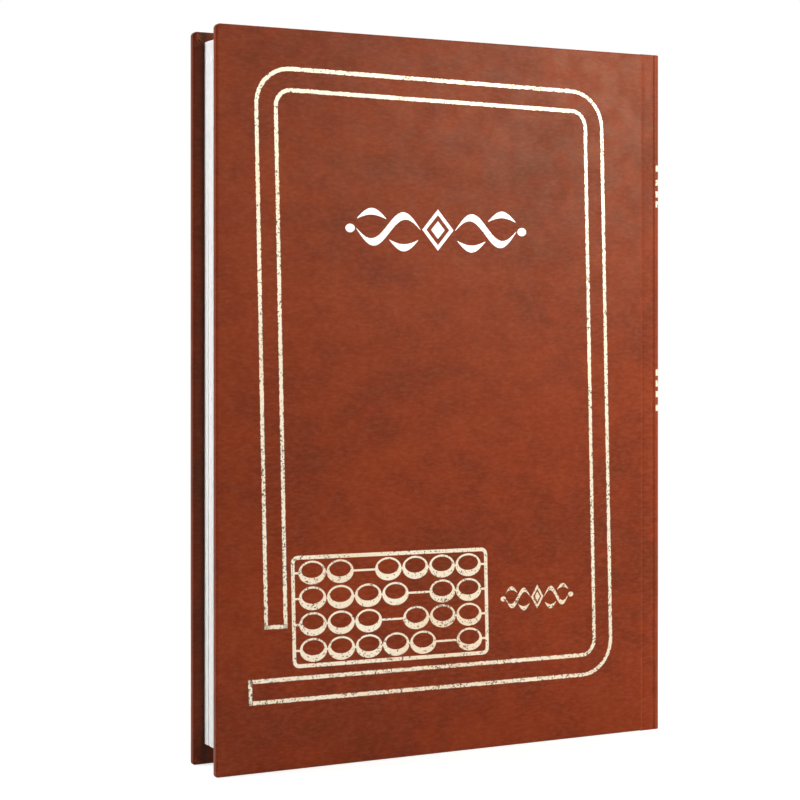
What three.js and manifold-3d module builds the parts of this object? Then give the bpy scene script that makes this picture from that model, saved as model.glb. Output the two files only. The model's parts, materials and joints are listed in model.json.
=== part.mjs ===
import * as THREE from 'three';
import Module from 'manifold-3d';
import { mergeVertices } from 'three/addons/utils/BufferGeometryUtils.js';

// A case-bound account book, standing upright on its tail and bound along its right side.
// Millimetres. +Z runs up the spine, the front cover faces -Y and the spine faces +X.
// The origin is the middle of the footprint, on the surface that the book stands on.

// The case: greyboards covered with leathercloth that is turned in over their edges.
const caseHeight = 303;
const caseWidth = 214.5;
const leatherThickness = 0.4;
const boardThickness = 2.5;
const turnInWidth = 15;
const cornerRadius = 1.6;
const edgeRounding = 0.8;
const boardEdgeRounding = 0.4;

// The joint groove between each board and the spine.
const jointWidth = 10.7;
const jointDepth = 0.9;
const jointGap = 0.15;
const shoulderWidth = 5.5;
const hingeInset = 1.5;
const hingeProud = 0.25;

// The spine, from its outer face inwards.
const spineRounding = 3.5;
const spineBoardThickness = 1.5;
const spineBoardInset = 1.7;
const spineBoardRounding = 1.0;
const spineLiningThickness = 0.4;
const mullThickness = 0.4;
const mullSetback = 25;

// The text block and how far the case stands out past it.
const foreEdgeSquare = 5;
const headSquare = 4.4;
const tailSquare = 8.6;
const sectionCount = 12;
const sectionThickness = 1.66;
const turningSections = 4;
const leafThickness = 0.2;
const pastedownThickness = 0.2;
const gutterDepth = 12;
const leafTaper = 9;
const leafRootThickness = 0.24;

// The sewing and the bands at head and tail.
const stationCount = 6;
const stationEndMargin = 16;
const kerfDepth = 0.9;
const kerfHeight = 1.2;
const threadThickness = 0.5;
const bandBeadRadius = 1.0;
const bandBeadSetback = 0.72;
const bandTabHeight = 12;

// Clearances.
const glueGap = 0.02;
const coverGap = 0.25;
const sheetGap = 0.05;
const leafRootGap = 0.7;
const packRootGap = 0.5;

// Layers of one cover, measured inwards from its outer face.
const boardOuter = leatherThickness + glueGap;
const boardInner = boardOuter + boardThickness;
const turnInOuter = boardInner + glueGap;
const turnInInner = turnInOuter + leatherThickness;
const pastedownOuter = turnInInner + glueGap;
const coverThickness = pastedownOuter + pastedownThickness;

// Layers of the block through its thickness.
const sheetPitch = leafThickness + sheetGap;
const sectionPitch = sectionThickness + sheetGap;
const blockThickness = 4 * sheetPitch + sectionCount * sectionPitch - sheetGap;
const caseThickness = 2 * (coverThickness + coverGap) + blockThickness;

// Outer faces of the case and the lines that the rest is set out from.
const foreFace = -caseWidth / 2;
const spineFace = caseWidth / 2;
const frontFace = -caseThickness / 2;
const backFace = caseThickness / 2;
const boardEnd = spineFace - jointWidth;
const hingeX = boardEnd + hingeInset;
const hingeY = frontFace - hingeProud;

// Layers of the spine, as x positions.
const spineBoardOuter = spineFace - leatherThickness - glueGap;
const spineBoardInner = spineBoardOuter - spineBoardThickness;
const liningOuter = spineBoardInner - glueGap;
const liningInner = liningOuter - spineLiningThickness;
const mullOuter = Math.min(liningInner, liningOuter - leatherThickness) - glueGap;
const mullInner = mullOuter - mullThickness;
const blockSpine = mullInner - glueGap;

// Extent of the text block.
const blockFore = foreFace + foreEdgeSquare;
const blockTail = tailSquare;
const blockHead = caseHeight - headSquare;
const blockFront = frontFace + coverThickness + coverGap;
const gutterX = blockSpine - gutterDepth;

const wasm = await Module();
wasm.setup();

const finishes = {
  leather: { color: 0x87391f, roughness: 0.42, metalness: 0 },
  greyboard: { color: 0x8d8578, roughness: 0.95, metalness: 0 },
  paper: { color: 0xf6f4ee, roughness: 0.9, metalness: 0 },
  endpaper: { color: 0xefe9da, roughness: 0.9, metalness: 0 },
  lining: { color: 0xb59a6c, roughness: 0.95, metalness: 0 },
  mull: { color: 0xe4ddcb, roughness: 1, metalness: 0 },
  band: { color: 0x8f2a22, roughness: 0.8, metalness: 0 },
  thread: { color: 0xf1ead8, roughness: 0.85, metalness: 0 },
};

// A closed mesh as a solid that can be joined and cut.
function toSolid(geometry) {
  const bare = geometry.clone();
  bare.deleteAttribute('normal');
  bare.deleteAttribute('uv');
  const merged = mergeVertices(bare, 1e-4);
  const mesh = new wasm.Mesh({
    numProp: 3,
    vertProperties: new Float32Array(merged.attributes.position.array),
    triVerts: new Uint32Array(merged.index.array),
  });
  return new wasm.Manifold(mesh);
}

function fromSolid(solid) {
  const mesh = solid.getMesh();
  const geometry = new THREE.BufferGeometry();
  geometry.setAttribute('position', new THREE.BufferAttribute(mesh.vertProperties.slice(), 3));
  geometry.setIndex(new THREE.BufferAttribute(mesh.triVerts.slice(), 1));
  geometry.computeVertexNormals();
  return geometry;
}

function box(x0, x1, y0, y1, z0, z1) {
  const geometry = new THREE.BoxGeometry(x1 - x0, y1 - y0, z1 - z0);
  return geometry.translate((x0 + x1) / 2, (y0 + y1) / 2, (z0 + z1) / 2);
}

function outline(points) {
  return new THREE.Shape(points.map(([a, b]) => new THREE.Vector2(a, b)));
}

// A plan outline in x and y, raised from z0 to z1.
function column(points, z0, z1) {
  const geometry = new THREE.ExtrudeGeometry(outline(points), { depth: z1 - z0, bevelEnabled: false });
  return geometry.translate(0, 0, z0);
}

// A front outline in x and z, carried through the thickness from y0 to y1.
function plate(points, y0, y1) {
  const geometry = new THREE.ExtrudeGeometry(outline(points), { depth: y1 - y0, bevelEnabled: false });
  return geometry.rotateX(Math.PI / 2).translate(0, y1, 0);
}

// A board-like slab with rounded corners and rounded edges all round.
function roundedSlab(x0, x1, y0, y1, z0, z1, radius, edge) {
  const shape = new THREE.Shape();
  shape.moveTo(x0 + radius, z0);
  shape.lineTo(x1 - radius, z0);
  shape.absarc(x1 - radius, z0 + radius, radius, -Math.PI / 2, 0);
  shape.lineTo(x1, z1 - radius);
  shape.absarc(x1 - radius, z1 - radius, radius, 0, Math.PI / 2);
  shape.lineTo(x0 + radius, z1);
  shape.absarc(x0 + radius, z1 - radius, radius, Math.PI / 2, Math.PI);
  shape.lineTo(x0, z0 + radius);
  shape.absarc(x0 + radius, z0 + radius, radius, Math.PI, Math.PI * 1.5);
  const geometry = new THREE.ExtrudeGeometry(shape, {
    depth: y1 - y0 - 2 * edge,
    bevelEnabled: true,
    bevelThickness: edge,
    bevelSize: edge,
    bevelOffset: -edge,
    bevelSegments: 3,
    curveSegments: 4,
  });
  return geometry.rotateX(Math.PI / 2).translate(0, y1 - edge, 0);
}

// A slab as above, square along its spine side where it is cut off at x1.
function coverSlab(x0, x1, y0, y1, z0, z1, radius, edge) {
  const past = 3 * (radius + edge);
  const whole = toSolid(roundedSlab(x0, x1 + past, y0, y1, z0, z1, radius, edge));
  const keep = toSolid(box(x0 - 1, x1, y0 - 1, y1 + 1, z0 - 1, z1 + 1));
  return whole.intersect(keep);
}

// The same slab on the back of the book, mirrored through the middle of its thickness.
function mirrored(solid, back) {
  if (!back) return fromSolid(solid);
  const geometry = fromSolid(solid);
  geometry.scale(1, -1, 1);
  const index = geometry.index.array;
  for (let i = 0; i < index.length; i += 3) {
    const keep = index[i + 1];
    index[i + 1] = index[i + 2];
    index[i + 2] = keep;
  }
  geometry.computeVertexNormals();
  return geometry;
}

const group = new THREE.Group();

function add(name, geometry, finish) {
  const mesh = new THREE.Mesh(geometry, new THREE.MeshStandardMaterial(finishes[finish]));
  mesh.name = name;
  group.add(mesh);
}

// Cover board, as wide as the case less the leathercloth.
function boardSolid(grow) {
  const wrap = leatherThickness + glueGap - grow;
  return coverSlab(
    foreFace + wrap, boardEnd + grow, frontFace + boardOuter - grow, frontFace + boardInner + grow,
    wrap, caseHeight - wrap, cornerRadius - leatherThickness + grow, boardEdgeRounding + grow,
  );
}

// Leathercloth round the board, with a window inside where the turn-ins stop.
function coverLeatherSolid() {
  const skin = coverSlab(
    foreFace, boardEnd, frontFace, frontFace + turnInInner, 0, caseHeight, cornerRadius, edgeRounding,
  );
  const window = toSolid(box(
    foreFace + turnInWidth, boardEnd + 1, frontFace + boardInner, frontFace + coverThickness,
    turnInWidth, caseHeight - turnInWidth,
  ));
  return skin.subtract(boardSolid(glueGap)).subtract(window);
}

// A flat plate set back from the fore edge, tail and head, running up to the spine side.
function insetPlate(fore, tail, head, y0, y1) {
  return toSolid(box(
    foreFace + fore, boardEnd, frontFace + y0, frontFace + y1, tail, caseHeight - head,
  ));
}

// Paper glued over the turn-ins and down on to the bare board inside them. It is trimmed with
// the text block, so its edges line up with the block's.
function pastedownSolid() {
  const outside = turnInWidth + glueGap;
  const inside = outside + pastedownThickness;
  const lowOuter = boardInner + glueGap;
  const lowInner = lowOuter + pastedownThickness;
  const past = coverThickness + 1;
  const full = insetPlate(foreEdgeSquare, tailSquare, headSquare, pastedownOuter, coverThickness);
  const rim = full.subtract(insetPlate(inside, inside, inside, 0, past));
  const sunk = insetPlate(outside, outside, outside, lowOuter, coverThickness);
  const hollow = insetPlate(inside, inside, inside, lowInner, past);
  return rim.add(sunk.subtract(hollow));
}

function addCover(side) {
  const back = side === 'back';
  add(`${side}_board`, mirrored(boardSolid(0), back), 'greyboard');
  add(`${side}_cover_leather`, mirrored(coverLeatherSolid(), back), 'leather');
  add(`${side}_pastedown`, mirrored(pastedownSolid(), back), 'endpaper');
}

// Outer face of the leathercloth over the front joint and round to the middle of the spine.
function spinePath() {
  const path = [
    [boardEnd + jointGap, frontFace],
    [boardEnd + jointGap + 0.1 * jointWidth, frontFace + 0.8 * jointDepth],
    [spineFace - 0.78 * jointWidth, frontFace + jointDepth],
    [spineFace - 0.7 * jointWidth, frontFace + 0.7 * jointDepth],
    [spineFace - shoulderWidth, frontFace],
  ];
  const steps = 8;
  for (let i = 0; i <= steps; i += 1) {
    const angle = (i / steps) * Math.PI / 2;
    path.push([
      spineFace - spineRounding + spineRounding * Math.sin(angle),
      frontFace + spineRounding - spineRounding * Math.cos(angle),
    ]);
  }
  return path;
}

// The path moved inwards by a depth, each point along the mean of its two edge normals.
// The first point stays level with the cut edge that faces the board.
function inwards(path, depth) {
  return path.map((point, i) => {
    const before = path[Math.max(i - 1, 0)];
    const after = path[Math.min(i + 1, path.length - 1)];
    const along = new THREE.Vector2(after[0] - before[0], after[1] - before[1]).normalize();
    if (i === 0) return [point[0], point[1] + depth / along.x];
    return [point[0] - along.y * depth, point[1] + along.x * depth];
  });
}

function withMirror(half) {
  return half.concat([...half].reverse().map(([x, y]) => [x, -y]));
}

// Leathercloth over both joints and the spine, turned in over the ends of the spine board.
function spineLeatherGeometry() {
  const outer = spinePath();
  const inner = inwards(outer, leatherThickness);
  const ring = withMirror(outer).concat(withMirror(inner).reverse());
  const wall = toSolid(column(ring, 0, caseHeight));
  const inside = frontFace + spineBoardInset;
  const capX = liningOuter - leatherThickness;
  const capEnd = box(capX, spineFace - leatherThickness / 2, inside, -inside, 0, leatherThickness);
  const flap = box(capX, liningOuter, inside, -inside, 0, turnInWidth);
  const fold = toSolid(capEnd).add(toSolid(flap));
  const lift = caseHeight - turnInWidth;
  const topCap = capEnd.clone().translate(0, 0, caseHeight - leatherThickness);
  const topFold = toSolid(topCap).add(toSolid(flap.clone().translate(0, 0, lift)));
  const bounds = toSolid(column(withMirror(outer), 0, caseHeight));
  return fromSolid(wall.add(fold.add(topFold).intersect(bounds)));
}

// Spine stiffener, its outer long edges rounded to sit in the leathercloth.
function spineBoardGeometry() {
  const reach = spineRounding - leatherThickness - glueGap;
  const centreX = spineFace - spineRounding;
  const centreY = frontFace + spineRounding;
  const half = [[spineBoardInner, frontFace + spineBoardInset + glueGap]];
  const steps = 5;
  const first = Math.asin((spineBoardInner + spineBoardRounding / 2 - centreX) / reach);
  const last = Math.asin(Math.min(1, (spineBoardOuter - centreX) / reach));
  for (let i = 0; i <= steps; i += 1) {
    const angle = first + (last - first) * (i / steps);
    const y = centreY - reach * Math.cos(angle);
    half.push([centreX + reach * Math.sin(angle), Math.max(y, frontFace + spineBoardInset + glueGap)]);
  }
  const wrap = leatherThickness + glueGap;
  return column(withMirror(half), wrap, caseHeight - wrap);
}

function addSpine() {
  const inside = frontFace + spineBoardInset + glueGap;
  const liningEnd = turnInWidth + glueGap;
  add('spine_leather', spineLeatherGeometry(), 'leather');
  add('spine_board', spineBoardGeometry(), 'greyboard');
  add(
    'spine_lining',
    box(liningInner, liningOuter, inside, -inside, liningEnd, caseHeight - liningEnd),
    'lining',
  );
  add(
    'mull_strip',
    box(mullInner, mullOuter, blockFront, -blockFront, blockTail + mullSetback, blockHead - mullSetback),
    'mull',
  );
}

// Cloth band with a rolled bead that covers the end of the folds.
function bandGeometry(edge, towards) {
  const beadZ = edge + towards * (glueGap + bandBeadRadius);
  const tabEnd = edge - towards * bandTabHeight;
  const tab = box(
    mullInner, mullOuter, blockFront, -blockFront, Math.min(beadZ, tabEnd), Math.max(beadZ, tabEnd),
  );
  const bead = new THREE.CylinderGeometry(bandBeadRadius, bandBeadRadius, -2 * blockFront, 16);
  bead.translate(blockSpine - bandBeadSetback, 0, beadZ);
  return fromSolid(toSolid(tab).add(toSolid(bead)));
}

// Heights of the sewing stations, evenly spread between the end margins.
function stationHeights() {
  const first = blockTail + stationEndMargin;
  const last = blockHead - stationEndMargin;
  const heights = [];
  for (let i = 0; i < stationCount; i += 1) {
    heights.push(first + (last - first) * (i / (stationCount - 1)));
  }
  return heights;
}

// Slots sawn across the folds, where the thread crosses from section to section.
function kerfs(y0, y1) {
  return stationHeights().map((z) => toSolid(box(
    blockSpine - kerfDepth, blockSpine + 1, y0 - 1, y1 + 1, z - kerfHeight / 2, z + kerfHeight / 2,
  )));
}

function cutKerfs(geometry, y0, y1) {
  let solid = toSolid(geometry);
  for (const kerf of kerfs(y0, y1)) solid = solid.subtract(kerf);
  return fromSolid(solid);
}

// Plan points of a fold's rounded end at the spine.
function foldEnd(y0, y1) {
  const radius = (y1 - y0) / 2;
  const centre = (y0 + y1) / 2;
  const points = [];
  const steps = 6;
  for (let i = 0; i <= steps; i += 1) {
    const angle = -Math.PI / 2 + (i / steps) * Math.PI;
    points.push([blockSpine - radius + radius * Math.cos(angle), centre + radius * Math.sin(angle)]);
  }
  return points;
}

// The glued fold of a section, from its gutter line to the spine.
function foldGeometry(y0, y1) {
  const points = [[gutterX, y1], [gutterX, y0]].concat(foldEnd(y0, y1));
  return cutKerfs(column(points, blockTail, blockHead), y0, y1);
}

// A section that stays closed, fold and leaves in one.
function wholeSectionGeometry(y0, y1) {
  const points = [[blockFore, y1], [blockFore, y0]].concat(foldEnd(y0, y1));
  return cutKerfs(column(points, blockTail, blockHead), y0, y1);
}

// The leaves of a section that turn together, thinning to their root at the gutter.
function leafPackGeometry(y0, y1) {
  const centre = (y0 + y1) / 2;
  const rootX = gutterX - packRootGap;
  const fullX = gutterX - leafTaper;
  const points = [
    [blockFore, y0],
    [fullX, y0],
    [rootX, centre - leafRootThickness / 2],
    [rootX, centre + leafRootThickness / 2],
    [fullX, y1],
    [blockFore, y1],
  ];
  return column(points, blockTail, blockHead);
}

function leafGeometry(y0) {
  return box(blockFore, gutterX - leafRootGap, y0, y0 + leafThickness, blockTail, blockHead);
}

function gutterStripGeometry(y0) {
  return box(gutterX, blockSpine, y0, y0 + leafThickness, blockTail, blockHead);
}

function addSection(number, y0, y1, foldY0, foldY1) {
  const name = `section_${String(number).padStart(2, '0')}`;
  const fromEnd = Math.min(number, sectionCount + 1 - number);
  if (fromEnd > turningSections) {
    add(name, wholeSectionGeometry(y0, y1), 'paper');
    return;
  }
  add(`${name}_fold`, foldGeometry(foldY0, foldY1), 'paper');
  add(`${name}_leaves`, leafPackGeometry(y0, y1), 'paper');
}

function addSections() {
  const start = blockFront + 2 * sheetPitch;
  for (let i = 0; i < sectionCount; i += 1) {
    const y0 = start + i * sectionPitch;
    const y1 = y0 + sectionThickness;
    const foldY0 = i === 0 ? y0 - sheetPitch : y0;
    const foldY1 = i === sectionCount - 1 ? y1 + sheetPitch : y1;
    addSection(i + 1, y0, y1, foldY0, foldY1);
  }
}

function addLooseLeaves() {
  const backStart = -blockFront - leafThickness;
  add('front_endpaper_gutter', gutterStripGeometry(blockFront), 'endpaper');
  add('front_flyleaf', leafGeometry(blockFront), 'endpaper');
  add('first_leaf', leafGeometry(blockFront + sheetPitch), 'paper');
  add('last_leaf', leafGeometry(backStart - sheetPitch), 'paper');
  add('back_flyleaf', leafGeometry(backStart), 'endpaper');
  add('back_endpaper_gutter', gutterStripGeometry(backStart), 'endpaper');
}

// Thread laid across the folds, one run in each row of slots.
function addSewing() {
  const reach = -blockFront - 2 * sheetPitch;
  const inner = blockSpine - kerfDepth / 2 - threadThickness / 2;
  stationHeights().forEach((z, i) => {
    const half = threadThickness / 2;
    const run = box(inner, inner + threadThickness, -reach, reach, z - half, z + half);
    add(`sewing_stitch_${i + 1}`, run, 'thread');
  });
}

addSpine();
addCover('front');
addCover('back');
addLooseLeaves();
addSections();
addSewing();
add('head_band', bandGeometry(blockHead, 1), 'band');
add('tail_band', bandGeometry(blockTail, -1), 'band');

export default group;
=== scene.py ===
# %% [markdown]
# # A case-bound account book
#
# The book stands on its tail, bound along its right side, with its front cover towards the
# reader. The frame that is loaded here already holds every piece at its real size, in metres,
# and the bodies that the covers and leaves turn with. This lesson gives it its looks.

# %% Load the frame
import json
import math
import random

import bmesh
import bpy
from mathutils import Matrix, Vector

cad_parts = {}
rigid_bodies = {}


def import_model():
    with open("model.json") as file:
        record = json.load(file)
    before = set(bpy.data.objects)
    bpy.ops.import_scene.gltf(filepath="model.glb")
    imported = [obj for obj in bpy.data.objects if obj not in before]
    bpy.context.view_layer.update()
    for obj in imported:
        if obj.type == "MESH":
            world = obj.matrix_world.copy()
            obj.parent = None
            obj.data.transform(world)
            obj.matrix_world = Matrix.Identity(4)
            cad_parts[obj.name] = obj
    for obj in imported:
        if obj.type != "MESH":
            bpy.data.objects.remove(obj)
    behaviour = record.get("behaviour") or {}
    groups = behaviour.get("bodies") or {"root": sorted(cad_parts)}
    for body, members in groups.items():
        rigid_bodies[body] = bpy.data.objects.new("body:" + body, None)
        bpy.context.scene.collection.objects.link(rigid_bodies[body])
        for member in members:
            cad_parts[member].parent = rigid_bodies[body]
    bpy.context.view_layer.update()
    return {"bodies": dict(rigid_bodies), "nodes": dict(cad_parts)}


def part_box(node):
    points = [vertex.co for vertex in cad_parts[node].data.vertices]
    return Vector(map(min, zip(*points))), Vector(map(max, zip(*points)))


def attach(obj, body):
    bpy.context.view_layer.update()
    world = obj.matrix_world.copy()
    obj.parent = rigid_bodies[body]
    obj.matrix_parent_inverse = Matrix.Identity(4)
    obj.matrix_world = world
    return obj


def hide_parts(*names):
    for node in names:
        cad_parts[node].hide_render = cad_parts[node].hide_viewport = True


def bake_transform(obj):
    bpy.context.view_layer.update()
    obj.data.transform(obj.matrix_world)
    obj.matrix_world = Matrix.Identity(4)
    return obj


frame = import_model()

MM = 0.001
nodes = frame["nodes"]
print("nodes in the frame:", len(nodes))

# %% [markdown]
# ## Sizes taken from the frame
#
# Every new piece is fitted to a piece of the frame, so its faces are read from the boxes of the
# solids. All sizes are metres, and a real size in millimetres is written as a number times MM.

# %% Read the faces of the case and the block
cover_low, cover_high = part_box("front_cover_leather")
spine_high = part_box("spine_leather")[1]
section_low, section_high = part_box("section_05")
gutter_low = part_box("front_endpaper_gutter")[0]
pastedown_low, pastedown_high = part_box("front_pastedown")

FORE_FACE = cover_low.x
BOARD_END = cover_high.x
SPINE_FACE = spine_high.x
FRONT_FACE = cover_low.y
CASE_HEIGHT = cover_high.z
COVER_INNER = cover_high.y
PASTEDOWN_INNER = pastedown_high.y
BLOCK_FORE = section_low.x
BLOCK_SPINE = section_high.x
BLOCK_TAIL = section_low.z
BLOCK_HEAD = section_high.z
GUTTER_X = gutter_low.x
print("case", round((SPINE_FACE - FORE_FACE) / MM, 1), "x", round(CASE_HEIGHT / MM, 1), "mm")

# %% [markdown]
# ## The camera
#
# The photograph was taken from the left of the book and a little above its middle, with a long
# lens. The place and turn were fitted to the outlines of both covers. The camera stays level, and
# a small shift brings the book to the middle of the frame.

# %% Place the camera
camera_data = bpy.data.cameras.new("camera")
camera_data.lens = 88.25
camera_data.sensor_width = 36.0
camera_data.shift_y = -0.096
camera = bpy.data.objects.new("camera", camera_data)
camera.location = (-0.3972, -0.7490, 0.1825)
camera.rotation_euler = (math.radians(90), 0.0, math.radians(-26.905))
bpy.context.scene.collection.objects.link(camera)
bpy.context.scene.camera = camera
bpy.context.scene.view_settings.view_transform = "Standard"
print("camera at", tuple(round(v, 3) for v in camera.location))

# %% [markdown]
# ## Building materials
#
# A material is a tree of nodes. One function adds a node with its options, values and links, and
# gives back its outputs, so that the next node can take one of them. Another turns the hex
# colours that a painter would note into the linear values that the shader works in.


# %% Adding a node
def linear(hex_colour):
    parts = [int(hex_colour[i:i + 2], 16) / 255 for i in (1, 3, 5)]
    return [c / 12.92 if c <= 0.04045 else ((c + 0.055) / 1.055) ** 2.4 for c in parts] + [1.0]


def add_node(tree, kind, *values, named=None, stops=(), **options):
    """Adds a node and gives back its outputs.

    The kind ends in the operation where the node has one, as in "Math ADD". The values go to
    its inputs in order, and the named ones by name or number. A socket is linked, and anything
    else becomes the input's own value. The stops are those of a colour ramp: a place and a hex
    colour, or a place and a grey from 0 to 1.
    """
    kind, *operation = kind.split()
    node = tree.nodes.new("ShaderNode" + kind)
    if operation:
        node.operation = operation[0]
    for key, value in options.items():
        setattr(node, key, value)
    for key, value in [*enumerate(values), *(named or {}).items()]:
        if isinstance(value, bpy.types.NodeSocket):
            tree.links.new(value, node.inputs[key])
        else:
            node.inputs[key].default_value = value
    bar = node.color_ramp.elements if stops else []
    while len(bar) < len(stops):
        bar.new(0.5)
    for element, (place, colour) in zip(bar, stops):
        element.position = place
        element.color = linear(colour) if isinstance(colour, str) else (colour, colour, colour, 1)
    return node.outputs


# %% The start and the end of a material
def new_material(name):
    material = bpy.data.materials.new(name)
    material.use_nodes = True
    material.node_tree.nodes.clear()
    return material, material.node_tree


def coordinates(tree, bends):
    """The resting place of a point: the object's own space, or kept values on a bending piece."""
    if bends:
        return add_node(tree, "Attribute", attribute_name="place")["Vector"]
    return add_node(tree, "TexCoord")["Object"]


def surface(tree, inputs):
    shader = add_node(tree, "BsdfPrincipled", named=inputs)
    add_node(tree, "OutputMaterial", shader["BSDF"])


# %% Patterns at their real size
def clouds(tree, vector, size, detail=3.0, rough=0.5, stretch=(1, 1, 1)):
    """Soft noise whose blots are about size metres across."""
    scale = [s / size for s in stretch]
    place = add_node(tree, "Mapping", vector, named={"Scale": scale})[0]
    look = {"Scale": 1.0, "Detail": detail, "Roughness": rough}
    return add_node(tree, "TexNoise", place, named=look)["Fac"]


def layered(tree, first, share, second):
    """Two patterns over each other: this share of the first, and the rest of the second."""
    upper = add_node(tree, "Math MULTIPLY", first, share)[0]
    lower = add_node(tree, "Math MULTIPLY", second, 1 - share)[0]
    return add_node(tree, "Math ADD", upper, lower)[0]


# %% [markdown]
# ## Leathercloth
#
# The case is covered in a coated bookcloth that imitates leather: a film pressed on cotton, dyed
# red-brown and rubbed so that darker and paler clouds show. Its grain is a fine pebble, crossed by
# faint creases along the width. The real pebble is too fine to show, so it is drawn about 1 mm
# wide. Pale flecks on the creases are a painted highlight. The inner faces and the fore edges are
# darkened with painted shade, darkest in the corner that the block stands in, and the pleats that
# stand proud are lighter there: a painted highlight.

# %% Dye, grain and painted crease highlights
CLOUD = 58 * MM
BLOTCH = 11 * MM
PEBBLE = 1.0 * MM
CREASE = 1.1 * MM


def leather_layers(tree, vector):
    """The dyed colour with painted highlights on the creases, and the height of the grain."""
    cloud = clouds(tree, vector, CLOUD, detail=4.0, rough=0.6)
    blotch = clouds(tree, vector, BLOTCH, detail=6.0, rough=0.65, stretch=(0.7, 0.7, 1))
    colour = add_node(tree, "ValToRGB", layered(tree, cloud, 0.55, blotch), stops=[
        (0.36, "#7b2a03"), (0.46, "#882b05"), (0.54, "#963208"), (0.66, "#9f390e"),
    ])[0]
    pebble = clouds(tree, vector, PEBBLE, detail=2.0, rough=0.55)
    crease = clouds(tree, vector, CREASE, detail=3.0, rough=0.65, stretch=(0.36, 0.36, 1))
    # Painted highlight: pale flecks where the fine creases catch the light
    wear_and_highlight = add_node(tree, "ValToRGB", crease, stops=[(0.44, 0.0), (0.7, 0.14)])[0]
    # A Mix of colours has its share at input 0, the colours at 6 and 7, and its result at 2
    colours = {0: wear_and_highlight, 6: colour, 7: linear("#cc7858")}
    colour = add_node(tree, "Mix", named=colours, data_type="RGBA")[2]
    return colour, layered(tree, pebble, 0.7, crease)


# %% Painted shade inside the cover and on its fore edges
PAINTED_SHADE_DEPTH = 16 * MM
OUTER_LAYER = 13 * MM
ROUNDED_EDGE = 2 * MM
CORNER_REACH = 1.5 * (BLOCK_FORE - FORE_FACE)


def painted_inner_shade(tree, vector):
    """1 on the outer faces and the spine; less inside, on the fore edges and by the block: painted
    shade.
    """
    x, y, _ = add_node(tree, "SeparateXYZ", vector)
    outwards = add_node(tree, "Math ABSOLUTE", y)[0]
    depth = add_node(tree, "Math DIVIDE", outwards, PAINTED_SHADE_DEPTH)[0]
    # Painted shade on the inner faces, lighter on the proud pleats: a painted highlight
    inner = add_node(tree, "ValToRGB", depth, stops=[
        (0.676, 0.95), (0.69, 0.58), (0.71, 0.58), (0.92, 1.0),
    ])[0]
    from_edge = add_node(tree, "Math SUBTRACT", x, FORE_FACE)[0]
    rounding = add_node(tree, "Math DIVIDE", from_edge, ROUNDED_EDGE)[0]
    # Painted shade on the rounded fore edges
    edge = add_node(tree, "ValToRGB", rounding, stops=[(0.15, 0.74), (0.45, 1.0)])[0]
    # Painted shade, darkest in the corner where the block meets the cover, on inner faces only
    reach = add_node(tree, "Math DIVIDE", from_edge, CORNER_REACH)[0]
    corner = add_node(tree, "ValToRGB", reach, stops=[
        (0.38, 1.0), (0.6, 0.45), (0.7, 0.45), (0.86, 1.0),
    ])[0]
    outer_face = add_node(tree, "Math GREATER_THAN", outwards, OUTER_LAYER)[0]
    corner = add_node(tree, "Math MAXIMUM", corner, outer_face)[0]
    shade = add_node(tree, "Math MULTIPLY", inner, edge)[0]
    shade = add_node(tree, "Math MULTIPLY", shade, corner)[0]
    spine = add_node(tree, "Math GREATER_THAN", x, BOARD_END - 0.5 * MM)[0]
    return add_node(tree, "Math MAXIMUM", shade, spine)[0]


# %% Leathercloth material
def leathercloth(name, bends):
    material, tree = new_material(name)
    vector = coordinates(tree, bends)
    colour, height = leather_layers(tree, vector)
    pits = add_node(tree, "ValToRGB", height, stops=[(0.36, 0.88), (0.48, 1.0), (0.62, 1.04)])[0]
    # The colour takes the painted shade inside the cover, then the darker pits of the grain
    for shade in (painted_inner_shade(tree, vector), pits):
        colours = {0: 1.0, 6: colour, 7: shade}
        colour = add_node(tree, "Mix", named=colours, data_type="RGBA", blend_type="MULTIPLY")[2]
    polish = clouds(tree, vector, 9 * MM)
    shine = add_node(tree, "ValToRGB", polish, stops=[(0.35, 0.46), (0.65, 0.55)])[0]
    grain = {"Height": height, "Strength": 0.3, "Distance": 0.12 * MM}
    surface(tree, {
        "Base Color": colour, "Roughness": shine, "Normal": add_node(tree, "Bump", named=grain)[0],
        "IOR": 1.5, "Specular IOR Level": 0.26, "Specular Tint": (1, 1.13, 0.86, 1),
    })
    return material


leather_rigid = leathercloth("coated_leathercloth", False)
leather_bending = leathercloth("coated_leathercloth_joint", True)
print("leathercloth nodes:", len(leather_rigid.node_tree.nodes))

# %% [markdown]
# ## Stamping foil
#
# The decoration is hot-stamped: a metal film a few microns thick, pressed into the cloth under a
# heated block. It sits on the tops of the grain and misses the deepest pits, so small specks of
# leathercloth show through, and the rims of the long lines are frayed. The frame lines are pale
# gold, and the ornament above is silver.

# %% Foil materials
HALF_GREY = (0.5, 0.5, 0.5, 1)


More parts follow.
